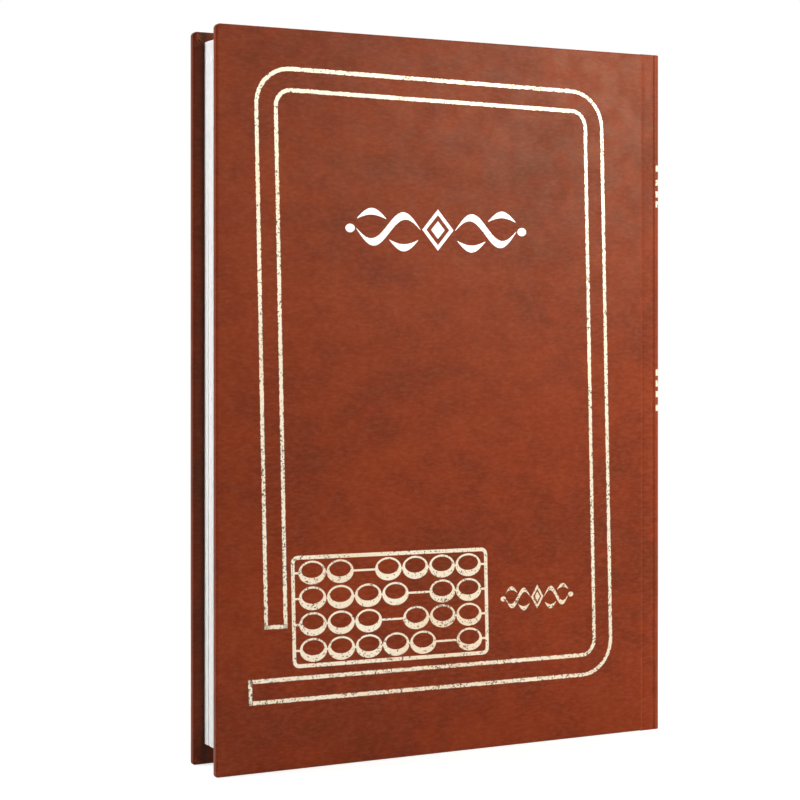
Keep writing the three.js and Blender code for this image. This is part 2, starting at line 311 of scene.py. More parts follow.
def stamping_foil(name, light, deep, misses):
    """The film, and the shaded cloth where its level falls short of misses."""
    material, tree = new_material(name)
    vector = coordinates(tree, False)
    cloth, height = leather_layers(tree, vector)
    wear = clouds(tree, vector, 24 * MM, detail=2.0)
    fray = clouds(tree, vector, 0.9 * MM, detail=2.0)
    grit = clouds(tree, vector, 0.6 * MM, detail=1.0)
    rim = add_node(tree, "Attribute", attribute_name="rim")["Fac"]
    wear_and_highlight = add_node(tree, "Math MULTIPLY", wear, 0.18)[0]
    fray = add_node(tree, "Math MULTIPLY", fray, 0.36)[0]
    fray = add_node(tree, "Math MULTIPLY", rim, fray)[0]
    level = layered(tree, height, 0.55, grit)
    level = add_node(tree, "Math ADD", level, wear_and_highlight)[0]
    level = add_node(tree, "Math SUBTRACT", level, fray)[0]
    missed = add_node(tree, "ValToRGB", level, stops=[(misses, 0.9), (misses + 0.05, 0.0)])[0]
    tarnish = clouds(tree, vector, 40 * MM)
    film = add_node(tree, "ValToRGB", tarnish, stops=[(0.35, deep), (0.65, light)])[0]
    colours = {0: 1.0, 6: cloth, 7: HALF_GREY}
    pit = add_node(tree, "Mix", named=colours, data_type="RGBA", blend_type="MULTIPLY")[2]
    colours = {0: missed, 6: film, 7: pit}
    grain = {"Height": height, "Strength": 0.2, "Distance": 0.1 * MM}
    surface(tree, {
        "Base Color": add_node(tree, "Mix", named=colours, data_type="RGBA")[2],
        "Metallic": add_node(tree, "ValToRGB", missed, stops=[(0.0, 0.5), (1.0, 0.0)])[0],
        "Normal": add_node(tree, "Bump", named=grain)[0], "Roughness": 0.42,
    })
    return material


gold_foil = stamping_foil("pale_gold_foil", "#fff2da", "#f8e4c6", 0.485)
silver_foil = stamping_foil("silver_foil", "#fdfcfa", "#f5f3ef", 0.44)
print("foils:", gold_foil.name, silver_foil.name)

# %% [markdown]
# ## Paper, board, cloth and thread
#
# The leaves are smooth white writing paper, ruled for accounts: pale blue feint lines 8 mm apart
# and red column rules. The ruling is printed, so it is drawn from the place of a point on the
# page. The boards are grey pulp board, the lining is kraft paper, and the mull is an open cotton.

# %% Ruled writing paper
FEINT_PITCH = 8 * MM
FEINT_WIDTH = 0.3 * MM
RULE_WIDTH = 0.35 * MM
COLUMN_RULES = (14, 32, 34, 108, 126, 144, 162, 180)
HEAD_RULES = (22, 34, 35.2)
FEINT_TOP = BLOCK_HEAD - 34 * MM
FEINT_FOOT = BLOCK_TAIL + 14 * MM
FORE_MARGIN = BLOCK_FORE + 3 * MM


def printed_line(tree, value, place, width):
    """1 on a line at this place, 0 off it."""
    off = add_node(tree, "Math SUBTRACT", value, place)[0]
    away = add_node(tree, "Math ABSOLUTE", off)[0]
    return add_node(tree, "Math LESS_THAN", away, width / 2)[0]


def ruled_paper(name):
    material, tree = new_material(name)
    vector = coordinates(tree, True)
    x, _, z = add_node(tree, "SeparateXYZ", vector)
    height = add_node(tree, "Math SUBTRACT", z, FEINT_FOOT)[0]
    row = add_node(tree, "Math MODULO", height, FEINT_PITCH)[0]
    feint = printed_line(tree, row, FEINT_PITCH / 2, FEINT_WIDTH)
    places = [(x, BLOCK_FORE + place * MM) for place in COLUMN_RULES]
    places += [(z, BLOCK_HEAD - place * MM) for place in HEAD_RULES]
    rules, *others = [printed_line(tree, value, place, RULE_WIDTH) for value, place in places]
    for line in others:
        rules = add_node(tree, "Math MAXIMUM", rules, line)[0]
    inside = add_node(tree, "Math GREATER_THAN", x, FORE_MARGIN)[0]
    rules = add_node(tree, "Math MULTIPLY", rules, inside)[0]
    under_head = add_node(tree, "Math LESS_THAN", z, FEINT_TOP)[0]
    over_tail = add_node(tree, "Math GREATER_THAN", z, FEINT_FOOT)[0]
    between = add_node(tree, "Math MULTIPLY", under_head, over_tail)[0]
    for mask in (between, inside):
        feint = add_node(tree, "Math MULTIPLY", feint, mask)[0]
    fibre = clouds(tree, vector, 3 * MM, detail=4.0)
    colour = add_node(tree, "ValToRGB", fibre, stops=[(0.3, "#f3f2ee"), (0.7, "#faf9f6")])[0]
    for ink, tint in ((feint, "#a9c3da"), (rules, "#cf8f86")):
        colours = {0: ink, 6: colour, 7: linear(tint)}
        colour = add_node(tree, "Mix", named=colours, data_type="RGBA")[2]
    surface(tree, {"Base Color": colour, "Roughness": 0.82, "IOR": 1.4})
    return material


page_ruled = ruled_paper("ruled_ledger_paper")
print("rules on a page:", len(COLUMN_RULES) + len(HEAD_RULES))


# %% Plain papers and boards
def plain_paper(name, dark, light, bends, fibre_length):
    material, tree = new_material(name)
    vector = coordinates(tree, bends)
    fibre = clouds(tree, vector, fibre_length, detail=5.0, rough=0.65)
    tooth = {"Height": fibre, "Strength": 0.15, "Distance": 0.05 * MM}
    surface(tree, {
        "Base Color": add_node(tree, "ValToRGB", fibre, stops=[(0.3, dark), (0.7, light)])[0],
        "Normal": add_node(tree, "Bump", named=tooth)[0], "Roughness": 0.88, "IOR": 1.4,
    })
    return material


page_edge = plain_paper("guillotined_page_edge", "#f8f8f6", "#fefefd", True, 2 * MM)
endpaper_bending = plain_paper("endpaper_hinge", "#ebe6d9", "#f3efe4", True, 2 * MM)
endpaper_rigid = plain_paper("endpaper_pasted", "#ebe6d9", "#f3efe4", False, 2 * MM)
greyboard = plain_paper("grey_pulp_board", "#7d766b", "#989083", False, 1.5 * MM)
kraft = plain_paper("kraft_lining", "#a3865a", "#b99d70", False, 3 * MM)
print("papers:", page_edge.name, greyboard.name, kraft.name)


# %% Woven cloths and thread
def thread_wave(tree, value, pitch):
    """Rises and falls once in each pitch."""
    turn = add_node(tree, "Math MULTIPLY", value, 2 * math.pi / pitch)[0]
    return add_node(tree, "Math SINE", turn)[0]


def woven(name, warp, weft, pitch, bands=None):
    """Plain weave: warp and weft cross at each pitch, over and under."""
    material, tree = new_material(name)
    _, y, z = add_node(tree, "SeparateXYZ", coordinates(tree, False))
    across_wave = thread_wave(tree, y, pitch)
    up_wave = thread_wave(tree, z, pitch)
    over = add_node(tree, "Math MULTIPLY", across_wave, up_wave)[0]
    if bands:
        stripe = thread_wave(tree, y, bands)
        pattern = add_node(tree, "Math GREATER_THAN", stripe, 0.0)[0]
        stops = [(0, warp), (1, weft)]
    else:
        pattern = add_node(tree, "Math ADD", over, 0.5)[0]
        stops = [(0.2, warp), (0.8, weft)]
    weave = {"Height": over, "Strength": 0.5, "Distance": 0.1 * MM}
    surface(tree, {
        "Base Color": add_node(tree, "ValToRGB", pattern, stops=stops)[0],
        "Normal": add_node(tree, "Bump", named=weave)[0],
        "Roughness": 0.9, "Sheen Weight": 0.2,
    })
    return material


mull_cloth = woven("open_cotton_mull", "#cfc6b0", "#e9e2d1", 1.2 * MM)
band_cloth = woven("striped_headband_cloth", "#8f2a22", "#ece4cf", 0.5 * MM, bands=1.6 * MM)
thread_fibre = woven("waxed_linen_thread", "#d9cfb6", "#f1ead8", 0.3 * MM)
print("cloths:", mull_cloth.name, band_cloth.name, thread_fibre.name)

# %% [markdown]
# ## Small tools for shaping
#
# Modelling by hand in Blender is always the same round: nothing is selected, a primitive is
# added, and in edit mode some faces or edges are picked and an operator works on them. These
# helpers do the picking by place, so that each later step reads like the work at the screen.

# %% Selecting and editing
ROOM = 0.01 * MM


def clear_selection():
    if bpy.context.mode != "OBJECT":
        bpy.ops.object.mode_set(mode="OBJECT")
    bpy.ops.object.select_all(action="DESELECT")


def take(piece):
    clear_selection()
    piece.select_set(True)
    bpy.context.view_layer.objects.active = piece


def edit(piece):
    take(piece)
    bpy.ops.object.mode_set(mode="EDIT")


def done(piece):
    bpy.ops.object.mode_set(mode="OBJECT")
    take(piece)
    bpy.ops.object.transform_apply(location=True, rotation=True, scale=True)
    clear_selection()
    return piece


# %% Picking, cutting and extruding
def near(value, target):
    return abs(value - target) < ROOM


def pick(piece, kind, test):
    """Selects only the vertices, edges or faces that pass a test on their points."""
    bpy.ops.mesh.select_mode(type=kind)
    bpy.ops.mesh.select_all(action="DESELECT")
    mesh = bmesh.from_edit_mesh(piece.data)
    found = {"VERT": mesh.verts, "EDGE": mesh.edges, "FACE": mesh.faces}[kind]
    count = 0
    for part in found:
        points = [part.co] if kind == "VERT" else [v.co for v in part.verts]
        if test(points):
            part.select_set(True)
            count += 1
    bmesh.update_edit_mesh(piece.data)
    return count


def pick_all(kind="FACE"):
    bpy.ops.mesh.select_mode(type=kind)
    bpy.ops.mesh.select_all(action="SELECT")


def cut_all(planes):
    """Cuts every face along planes, each given by a point and a normal."""
    for place, normal in planes:
        pick_all()
        bpy.ops.mesh.bisect(plane_co=place, plane_no=normal)


def extrude(x, y, z):
    bpy.ops.mesh.extrude_region_move(TRANSFORM_OT_translate={"value": (x, y, z)})


# %% Blocks and panels at their size and place
def sized(name, scale):
    """Names the primitive just added and gives it its size."""
    piece = bpy.context.active_object
    piece.name = name
    piece.scale = scale
    return done(piece)


def block(name, low, high):
    clear_selection()
    low, high = Vector(low), Vector(high)
    bpy.ops.mesh.primitive_cube_add(size=1.0, location=(low + high) / 2)
    return sized(name, high - low)


UPRIGHT = (math.pi / 2, 0, 0)


def panel(name, x, z, width, height, y):
    """An upright sheet that faces the front, with its middle at x and z."""
    clear_selection()
    bpy.ops.mesh.primitive_plane_add(size=1.0, location=(x, y, z), rotation=UPRIGHT)
    return sized(name, (width, height, 1))


# %% Modifiers that finish a piece
def thicken(piece, thickness, offset=-1.0, edge_slot=0):
    take(piece)
    solidify = piece.modifiers.new("solidify", "SOLIDIFY")
    solidify.thickness = thickness
    solidify.offset = offset
    solidify.use_even_offset = True
    solidify.material_offset_rim = edge_slot
    bpy.ops.object.modifier_apply(modifier=solidify.name)
    clear_selection()
    return piece


def smooth(piece, angle=35):
    take(piece)
    bpy.ops.object.shade_smooth_by_angle(angle=math.radians(angle))
    clear_selection()
    return piece


# %% Joining and copying
def outward(piece):
    """Merges doubles and turns every face outwards."""
    edit(piece)
    pick_all()
    bpy.ops.mesh.remove_doubles(threshold=0.0005 * MM)
    bpy.ops.mesh.normals_make_consistent(inside=False)
    return done(piece)


def joined(name, pieces):
    clear_selection()
    for piece in pieces:
        piece.select_set(True)
    bpy.context.view_layer.objects.active = pieces[0]
    if len(pieces) > 1:
        bpy.ops.object.join()
    whole = bpy.context.active_object
    whole.name = name
    clear_selection()
    return whole


def twin(piece, name, shift=(0, 0, 0)):
    """A copy with a mesh of its own, moved in its mesh."""
    copy = piece.copy()
    copy.data = piece.data.copy()
    copy.name = name
    bpy.context.scene.collection.objects.link(copy)
    copy.data.transform(Matrix.Translation(Vector(shift)))
    return copy


def across(piece, name):
    """A copy on the other cover: mirrored through the middle of the thickness."""
    copy = twin(piece, name)
    copy.data.transform(Matrix.Scale(-1, 4, (0, 1, 0)))
    return outward(copy)


# %% [markdown]
# ## The covers
#
# A cover is a greyboard with leathercloth drawn over it and turned in at the fore edge, head and
# tail. The board of the frame is right and stays. The leathercloth is modelled as a shell: a
# block at the size of the cover loses its face towards the spine, and its corners and edges are
# rounded as cloth rounds over a board. The inner face is cut along three planes at the width of
# the turn-ins, and its middle is deleted, which leaves the window where the board is bare.
# Solidify gives the shell its thickness. At both outer corners the spare cloth is gathered into
# three small pleats. Each is a bar, tapered at one end and half sunk in the turn-in.

# %% The window inside the turn-ins
TURN_IN = 15 * MM
WINDOW_FORE = FORE_FACE + TURN_IN
WINDOW_HEAD = CASE_HEIGHT - TURN_IN
WINDOW_TAIL = TURN_IN


def window_planes(inset=0.0):
    return (
        ((WINDOW_FORE + inset, 0, 0), (1, 0, 0)),
        ((0, 0, WINDOW_TAIL + inset), (0, 0, 1)),
        ((0, 0, WINDOW_HEAD - inset), (0, 0, 1)),
    )


def in_window(points, inset):
    return (min(p.x for p in points) > WINDOW_FORE + inset
            and min(p.z for p in points) > WINDOW_TAIL + inset
            and max(p.z for p in points) < WINDOW_HEAD - inset)


print("window height", round((WINDOW_HEAD - WINDOW_TAIL) / MM, 1), "mm")

# %% Pleats at the corners
PLEAT_WIDTH = 1.3 * MM
PLEAT_DEPTH = 0.9 * MM
PLEAT_ROUND = 0.28 * MM
PLEAT_TAPER = (1, 0.5, 0.45)
PLEAT_START = FORE_FACE + 1.3 * MM
PLEAT_FANS = ((1.4 * MM, 1), (CASE_HEIGHT - 1.6 * MM, -1))
PLEATS = ((45, 4.6 * MM), (14, 3.0 * MM), (76, 3.0 * MM))


def pleat(z, up, degrees, length):
    """A gathered fold of cloth that runs inwards from an outer corner of the cover."""
    y, end = COVER_INNER, PLEAT_START + length
    bar = block(
        "pleat", (PLEAT_START, y - PLEAT_DEPTH / 2, z - PLEAT_WIDTH / 2),
        (end, y + PLEAT_DEPTH / 2, z + PLEAT_WIDTH / 2),
    )
    edit(bar)
    pick(bar, "EDGE", lambda ps: near(ps[0].y, ps[1].y) and near(ps[0].z, ps[1].z)
         and ps[0].y > y)
    bpy.ops.mesh.bevel(offset=PLEAT_ROUND, segments=3, affect="EDGES")
    pick(bar, "FACE", lambda ps: all(near(p.x, end) for p in ps))
    bpy.ops.transform.resize(value=PLEAT_TAPER, center_override=(end, y, z))
    pick_all()
    turn, hub = up * math.radians(degrees), (PLEAT_START, y, z)
    bpy.ops.transform.rotate(value=turn, orient_axis="Y", center_override=hub)
    return done(bar)


# %% Leathercloth over a board
LEATHER = 0.4 * MM
HEAD_CORNER = 2.0 * MM
TAIL_CORNER = 1.1 * MM
EDGE_RADIUS = 0.8 * MM


def inner_face(points):
    return all(near(p.y, COVER_INNER) for p in points)


def cover_skin(name):
    skin = block(name, cover_low, cover_high)
    edit(skin)
    pick(skin, "FACE", lambda ps: all(near(p.x, BOARD_END) for p in ps))
    bpy.ops.mesh.delete(type="FACE")
    for z, radius in ((0.0, TAIL_CORNER), (CASE_HEIGHT, HEAD_CORNER)):
        pick(skin, "EDGE", lambda ps: all(near(p.x, FORE_FACE) and near(p.z, z) for p in ps))
        bpy.ops.mesh.bevel(offset=radius, segments=5, affect="EDGES")
    for side in (FRONT_FACE, COVER_INNER):
        pick(skin, "EDGE", lambda ps: all(near(p.y, side) for p in ps)
             and not all(near(p.x, BOARD_END) for p in ps))
        bpy.ops.mesh.bevel(offset=EDGE_RADIUS, segments=4, affect="EDGES")
    for place, normal in window_planes():
        pick(skin, "FACE", inner_face)
        bpy.ops.mesh.bisect(plane_co=place, plane_no=normal)
    pick(skin, "FACE", lambda ps: inner_face(ps) and in_window(ps, -ROOM))
    bpy.ops.mesh.delete(type="FACE")
    done(skin)
    thicken(skin, LEATHER)
    folds = [pleat(*fan, *fold) for fold in PLEATS for fan in PLEAT_FANS]
    whole = joined(name, [skin] + folds)
    whole.data.materials.append(leather_rigid)
    return smooth(whole)


front_skin = cover_skin("front_cover_leathercloth")
back_skin = across(front_skin, "back_cover_leathercloth")
smooth(back_skin)
for piece, side in ((front_skin, "front"), (back_skin, "back")):
    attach(piece, f"{side}_cover")
    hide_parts(f"{side}_cover_leather")
print("cover leathercloth faces:", len(front_skin.data.polygons))

# %% [markdown]
# ## The joints and the spine
#
# Between the boards the same cloth crosses two joints and wraps the spine. A joint is a flat band
# between two shallow creases, and it is a hinge of the book, so it is a strip of its own between
# the spine and its cover. A strip starts as one upright panel, and its leading edge is extruded
# along the path that the cloth takes, seen from above. At the head and tail the cloth is turned
# in, so a second layer lies inside the first there.

# %% Paths of the cloth seen from above
SHOULDER_X = SPINE_FACE - 3.4 * MM
SPINE_RADIUS = 3.2 * MM
GROOVE = [
    (0.0, 0.0), (0.25, 0.06), (0.6, 0.2), (0.9, 0.22), (1.3, 0.13), (1.7, 0.1), (3.6, 0.1),
    (5.3, 0.1), (5.8, 0.15), (6.2, 0.25), (6.6, 0.25), (7.0, 0.1),
]
joint_path = [(BOARD_END + x * MM, FRONT_FACE + y * MM) for x, y in GROOVE]
joint_path.append((SHOULDER_X, FRONT_FACE))


def spine_corner(steps, first=0.0):
    """Points round the front edge of the spine, from a turn in degrees up to the flat."""
    points = []
    for step in range(steps + 1):
        turn = math.radians(first + (90 - first) * step / steps)
        points.append((
            SPINE_FACE - SPINE_RADIUS + SPINE_RADIUS * math.sin(turn),
            FRONT_FACE + SPINE_RADIUS - SPINE_RADIUS * math.cos(turn),
        ))
    return points


def both_halves(half):
    return half + [(x, -y) for x, y in reversed(half)]


def moved_in(path, depth):
    """The path moved towards the inside of the book by a depth."""
    moved = []
    for index, point in enumerate(path):
        before = Vector(path[max(index - 1, 0)])
        after = Vector(path[min(index + 1, len(path) - 1)])
        along = (after - before).normalized()
        moved.append((point[0] - along.y * depth, point[1] + along.x * depth))
    return moved


spine_path = both_halves([(SHOULDER_X, FRONT_FACE)] + spine_corner(9))
print("path points of the joint and the spine:", len(joint_path), len(spine_path))


# %% A strip along a path
def strip(name, path, low, high):
    """An upright sheet drawn out along a path seen from above, panel by panel."""
    clear_selection()
    first, second = Vector(path[0]), Vector(path[1])
    run = second - first
    middle = (first + second) / 2
    bpy.ops.mesh.primitive_plane_add(
        size=1.0,
        location=(middle.x, middle.y, (low + high) / 2),
        rotation=(math.pi / 2, 0, math.atan2(run.y, run.x)),
    )
    piece = sized(name, (run.length, high - low, 1))
    edit(piece)
    here = second
    pick(piece, "EDGE", lambda ps: all((Vector(p[:2]) - here).length < ROOM for p in ps))
    for point in path[2:]:
        step = Vector(point) - here
        extrude(step.x, step.y, 0)
        here = Vector(point)
    return done(piece)


def remember_place(piece):
    """Keeps each point's resting place, so a pattern stays put when the piece bends."""
    mesh = piece.data
    place = mesh.attributes.new("place", "FLOAT_VECTOR", "POINT")
    place.data.foreach_set("vector", [c for v in mesh.vertices for c in v.co])


# %% Cloth strips with their turned-in ends
LAYER_GAP = 0.02 * MM
FOLD_GAP = 0.05 * MM


def cloth_strip(name, path):
    layers = [strip(name, path, 0.0, CASE_HEIGHT)]
    inner = moved_in(path, LEATHER + LAYER_GAP)
    layers.append(strip("tail turn-in", inner, FOLD_GAP, TURN_IN))
    layers.append(strip("head turn-in", inner, CASE_HEIGHT - TURN_IN, CASE_HEIGHT - FOLD_GAP))
    return thicken(joined(name, layers), LEATHER)


spine_cloth = cloth_strip("spine_leathercloth", spine_path)
spine_cloth.data.materials.append(leather_rigid)
smooth(spine_cloth)
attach(spine_cloth, "spine_and_folds")
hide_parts("spine_leather")

front_joint = cloth_strip("front_joint_leathercloth", joint_path)
back_joint = across(front_joint, "back_joint_leathercloth")
for piece, side, sign in ((front_joint, "front", 1), (back_joint, "back", -1)):
    piece.data.materials.append(leather_bending)
    smooth(piece)
    remember_place(piece)
    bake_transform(piece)
    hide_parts("spine_leather")
print("joint faces:", len(front_joint.data.polygons))

# %% [markdown]
# ## Endpapers
#
# An endpaper is one folded sheet. Half of it, the pastedown, is glued over the turn-ins and sinks
# on to the bare board inside them. The other half is the flyleaf. Between them it crosses the
# joint, and that part bends when the cover opens.

# %% Pastedowns
PAPER = 0.15 * MM
SINK_RUN = 0.5 * MM


def pastedown(name):
    low, high = pastedown_low, pastedown_high
    sheet = panel(
        name, (low.x + high.x) / 2, (low.z + high.z) / 2, high.x - low.x, high.z - low.z, high.y,
    )
    edit(sheet)
    cut_all(window_planes() + window_planes(SINK_RUN))
    pick(sheet, "FACE", lambda ps: in_window(ps, SINK_RUN - ROOM))
    bpy.ops.transform.translate(value=(0, -LEATHER, 0))
    pick_all()
    bpy.ops.mesh.flip_normals()
    done(sheet)
    thicken(sheet, PAPER)
    sheet.data.materials.append(endpaper_rigid)
    return smooth(sheet)


front_pastedown = pastedown("front_pastedown_sheet")
back_pastedown = across(front_pastedown, "back_pastedown_sheet")
for piece, side in ((front_pastedown, "front"), (back_pastedown, "back")):
    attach(piece, f"{side}_cover")
    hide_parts(f"{side}_pastedown")
print("pastedown faces:", len(front_pastedown.data.polygons))

# %% Endpaper hinges
HINGE = [(0.0, 0.1), (1.5, 0.22), (3.1, 0.55), (4.6, 0.5), (6.1, 0.15), (7.6, -0.05)]
hinge_path = [(BOARD_END + x * MM, PASTEDOWN_INNER - y * MM) for x, y in HINGE]
front_hinge = thicken(
    strip("front_endpaper_hinge", hinge_path, pastedown_low.z, pastedown_high.z), PAPER, 0.0,
)
back_hinge = across(front_hinge, "back_endpaper_hinge")
for piece, side, sign in ((front_hinge, "front", 1), (back_hinge, "back", -1)):
    piece.data.materials.append(endpaper_bending)
    smooth(piece, 60)
    remember_place(piece)
    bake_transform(piece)
print("endpaper hinge is", round((hinge_path[-1][0] - BOARD_END) / MM, 1), "mm wide")

# %% [markdown]
# ## Leaves
#
# The block is sewn from twelve sections. A section is eight sheets folded once and nested, which
# makes sixteen leaves. One sheet is drawn as the thread sees it from above: from the fore edge to
# the fold, round it and back again. Near the gutter it has closer edges, because there it bends
# when the section turns. Eight nested sheets are made once, and the other sections are copies.
# One of them has slipped: its leaves lie a little further in at the tail of the fore edge.

# %% One nested section
SECTION_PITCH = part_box("section_06")[0].y - section_low.y
SHEETS = 8
LEAF = 0.085 * MM
TRIM = 0.05 * MM
GUTTER_STEPS = 9
FOLD_STEPS = 4
section_thickness = section_high.y - section_low.y
leaf_pitch = section_thickness / (2 * SHEETS)
section_middle = (section_low.y + section_high.y) / 2
BEND_FROM = GUTTER_X + 2 * MM
BEND_TO = GUTTER_X - 9 * MM
bend_places = [BEND_TO + (BEND_FROM - BEND_TO) * i / GUTTER_STEPS for i in range(GUTTER_STEPS + 1)]
rng = random.Random(12)


def folded_sheet(name, radius):
    near_side, far_side = section_middle - radius, section_middle + radius
    fold_x = BLOCK_SPINE - section_thickness / 2
    front = [(BLOCK_FORE + rng.uniform(0, TRIM), near_side)]
    front += [(x, near_side) for x in bend_places]
    fold = []
    for step in range(FOLD_STEPS + 1):
        turn = -math.pi / 2 + math.pi * step / FOLD_STEPS
        fold.append((fold_x + radius * math.cos(turn), section_middle + radius * math.sin(turn)))
    back = [(x, far_side) for x in reversed(bend_places)]
    back.append((BLOCK_FORE + rng.uniform(0, TRIM), far_side))
    low = BLOCK_TAIL + rng.uniform(0, TRIM)
    high = BLOCK_HEAD - rng.uniform(0, TRIM)
    return strip(name, front + fold + back, low, high)


sheets = [folded_sheet(f"sheet {i}", (i + 0.5) * leaf_pitch) for i in range(SHEETS)]
section = joined("section_05_sheets", sheets)
section.data.materials.append(page_ruled)
section.data.materials.append(page_edge)
thicken(section, LEAF, 0.0, edge_slot=1)
smooth(section, 40)
print("one section has", len(section.data.polygons), "faces")

# %% Twelve sections
SLIPPED = 10
SLIP = 0.35 * MM
sections = {}
for number in range(1, 13):
    away = (number - 5) * SECTION_PITCH
    copy_name = f"section_{number:02d}_sheets"
    sections[number] = section if number == 5 else twin(section, copy_name, (0, away, 0))

edit(sections[SLIPPED])
count = pick(sections[SLIPPED], "VERT",
             lambda ps: ps[0].x < BLOCK_FORE + MM and ps[0].z < BLOCK_TAIL + MM)
bpy.ops.transform.translate(value=(SLIP, 0, 0))
done(sections[SLIPPED])
print("points slipped back at the tail:", count)

# %% The sections on their bodies
for number, piece in sections.items():
    name = f"section_{number:02d}"
    remember_place(piece)
    if f"{name}_leaves" in frame["bodies"]:
        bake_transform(piece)
        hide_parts(f"{name}_fold", f"{name}_leaves")
    else:
        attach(piece, "spine_and_folds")
        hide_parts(name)
print("leaves in the sections:", len(sections) * 2 * SHEETS)


# %% Single leaves and flyleaves
LONE_LEAF = 1.3 * LEAF
LEAF_END = BLOCK_SPINE - 0.1 * MM


def single_leaf(name, body, material):
    low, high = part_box(body)
    middle = (low.y + high.y) / 2
    path = [(x, middle) for x in [BLOCK_FORE, *bend_places, LEAF_END]]
    leaf = strip(name, path, BLOCK_TAIL, BLOCK_HEAD)
    leaf.data.materials.append(material)
    leaf.data.materials.append(page_edge)
    thicken(leaf, LONE_LEAF, 0.0, edge_slot=1)
    remember_place(leaf)
    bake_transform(leaf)
    return leaf


for body, material, slot, also in (
    ("front_flyleaf", endpaper_bending, "endpaper", ["front_endpaper_gutter"]),
    ("first_leaf", page_ruled, "page_paper", []),
    ("last_leaf", page_ruled, "page_paper", []),
    ("back_flyleaf", endpaper_bending, "endpaper", ["back_endpaper_gutter"]),
):
    leaf = single_leaf(f"{body}_sheet", body, material)
    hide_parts(body, *also)
    print(leaf.name, "has", len(leaf.data.polygons), "faces")

# %% [markdown]
# ## Head and tail bands
#
# A band is a strip of cloth sewn round a cord, glued over the ends of the folds. The cord end
# shows as a small striped roll. It starts as a disc that is extruded along the thickness of the
# block, a little wider and narrower at each thread.

# %% Bands
ROLL_RADIUS = 0.95 * MM
ROLL_X = BLOCK_SPINE - 0.72 * MM
ROLL_INSET = 1.0 * MM
TAB_X = BLOCK_SPINE + 0.03 * MM
THREADS = 24
SWELL = 1.06


def disc(name, place, width, height, points):
    """An upright flat disc that faces the front."""
    clear_selection()
    bpy.ops.mesh.primitive_circle_add(
        vertices=points, radius=0.5, fill_type="NGON", location=place, rotation=UPRIGHT,
    )
    return sized(name, (width, height, 1))


def band(name, node, towards):
    low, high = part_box(node)
    z = high.z - ROLL_INSET if towards > 0 else low.z + ROLL_INSET
    roll = disc(name, (ROLL_X, low.y, z), 2 * ROLL_RADIUS, 2 * ROLL_RADIUS, 12)
    edit(roll)
    pick_all()
    for step in range(2 * THREADS):
        size = 1 / SWELL if step % 2 else SWELL
        extrude(0, (high.y - low.y) / (2 * THREADS), 0)
        bpy.ops.transform.resize(value=(size, 1, size), center_override=(ROLL_X, low.y, z))
    done(roll)
    outward(roll)
    tab_z = (low.z, z) if towards > 0 else (z, high.z)
    tab = block("tab", (TAB_X, low.y, tab_z[0]), (high.x, high.y, tab_z[1]))
    whole = joined(name, [roll, tab])
    whole.data.materials.append(band_cloth)
    smooth(whole)
    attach(whole, "spine_and_folds")
    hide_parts(node)
    print(name, "has", len(whole.data.polygons), "faces")


band("head_band_roll", "head_band", 1)
band("tail_band_roll", "tail_band", -1)

# %% [markdown]
# ## Pieces of the frame that stay
#
# The boards, the spine board and its lining, the mull and the sewing thread are hidden inside
# the case, and their solids are right as they are. They only need their real materials.

# %% Materials for the frame's own pieces
glued_strips = {"spine_lining": kraft, "mull_strip": mull_cloth}
for name, node in nodes.items():
    if node.hide_render:
        continue
    material = greyboard if name.endswith("_board") else glued_strips.get(name, thread_fibre)
    node.data.materials.clear()
    node.data.materials.append(material)
    print(name, "->", material.name)

# %% [markdown]
# ## Stamped decoration
#
# The foil lies on the cloth as thin flat shapes. A line with round corners starts as a panel: its
# corners are bevelled round, the face is inset by the width of the line, and the middle is
# deleted. Other shapes are flat ovals, and strokes that are extruded step by step. Solidify gives
# all of them the thickness of the film, a few hundredths of a millimetre above the cloth.

# %% Flat foil shapes
FOIL = 0.035 * MM
FOIL_Y = FRONT_FACE - FOIL


def oval(name, x, z, width, height, points=28):
    return disc(name, (x, FOIL_Y, z), width, height, points)


def hollow(shape, line, lift=0.0, widen=1.0):
    """Leaves a rim of this width, heavier below when the hole is lifted."""
    edit(shape)
    pick_all()
    bpy.ops.mesh.inset(thickness=line, use_boundary=True)
    bpy.ops.transform.resize(value=(widen, 1, 1), center_override=(0, 0, 0))
    bpy.ops.transform.translate(value=(0, 0, lift))
    bpy.ops.mesh.delete(type="FACE")
    return done(shape)


def rounded_line(name, x, z, width, height, radius, line):
    shape = panel(name, x, z, width, height, FOIL_Y)
    edit(shape)
    pick_all("VERT")
    bpy.ops.mesh.bevel(offset=radius, segments=12, affect="VERTICES")
    return hollow(done(shape), line)


# %% From shapes to foil
RIM = 0.3 * MM


def remember_rim(shape):
    """Insets every shape a little and keeps 1 on its outline and 0 inside, for the frayed edge."""
    edit(shape)
    pick_all()
    bpy.ops.mesh.inset(thickness=RIM, use_boundary=True)
    bpy.ops.object.mode_set(mode="OBJECT")
    points = shape.data.vertices
    rim = shape.data.attributes.new("rim", "FLOAT", "POINT")
    rim.data.foreach_set("value", [0.0 if point.select else 1.0 for point in points])


def stamped(name, shapes, material, body="front_cover", frayed=False):
    whole = joined(name, shapes)
    if frayed:
        remember_rim(whole)
    thicken(whole, FOIL)
    whole.data.materials.append(material)
    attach(whole, body)
    print(name, "is made of", len(shapes), "shapes")
    return whole


# %% [markdown]
# ## The frame of two lines
#
# Two lines with round corners run round the cover. Below on the left they are open, and the two
# bands between them end in square caps. The stamping block sat a little askew, so the frame and
# the abacus lean, and the head and foot of the frame swing a little out of level.

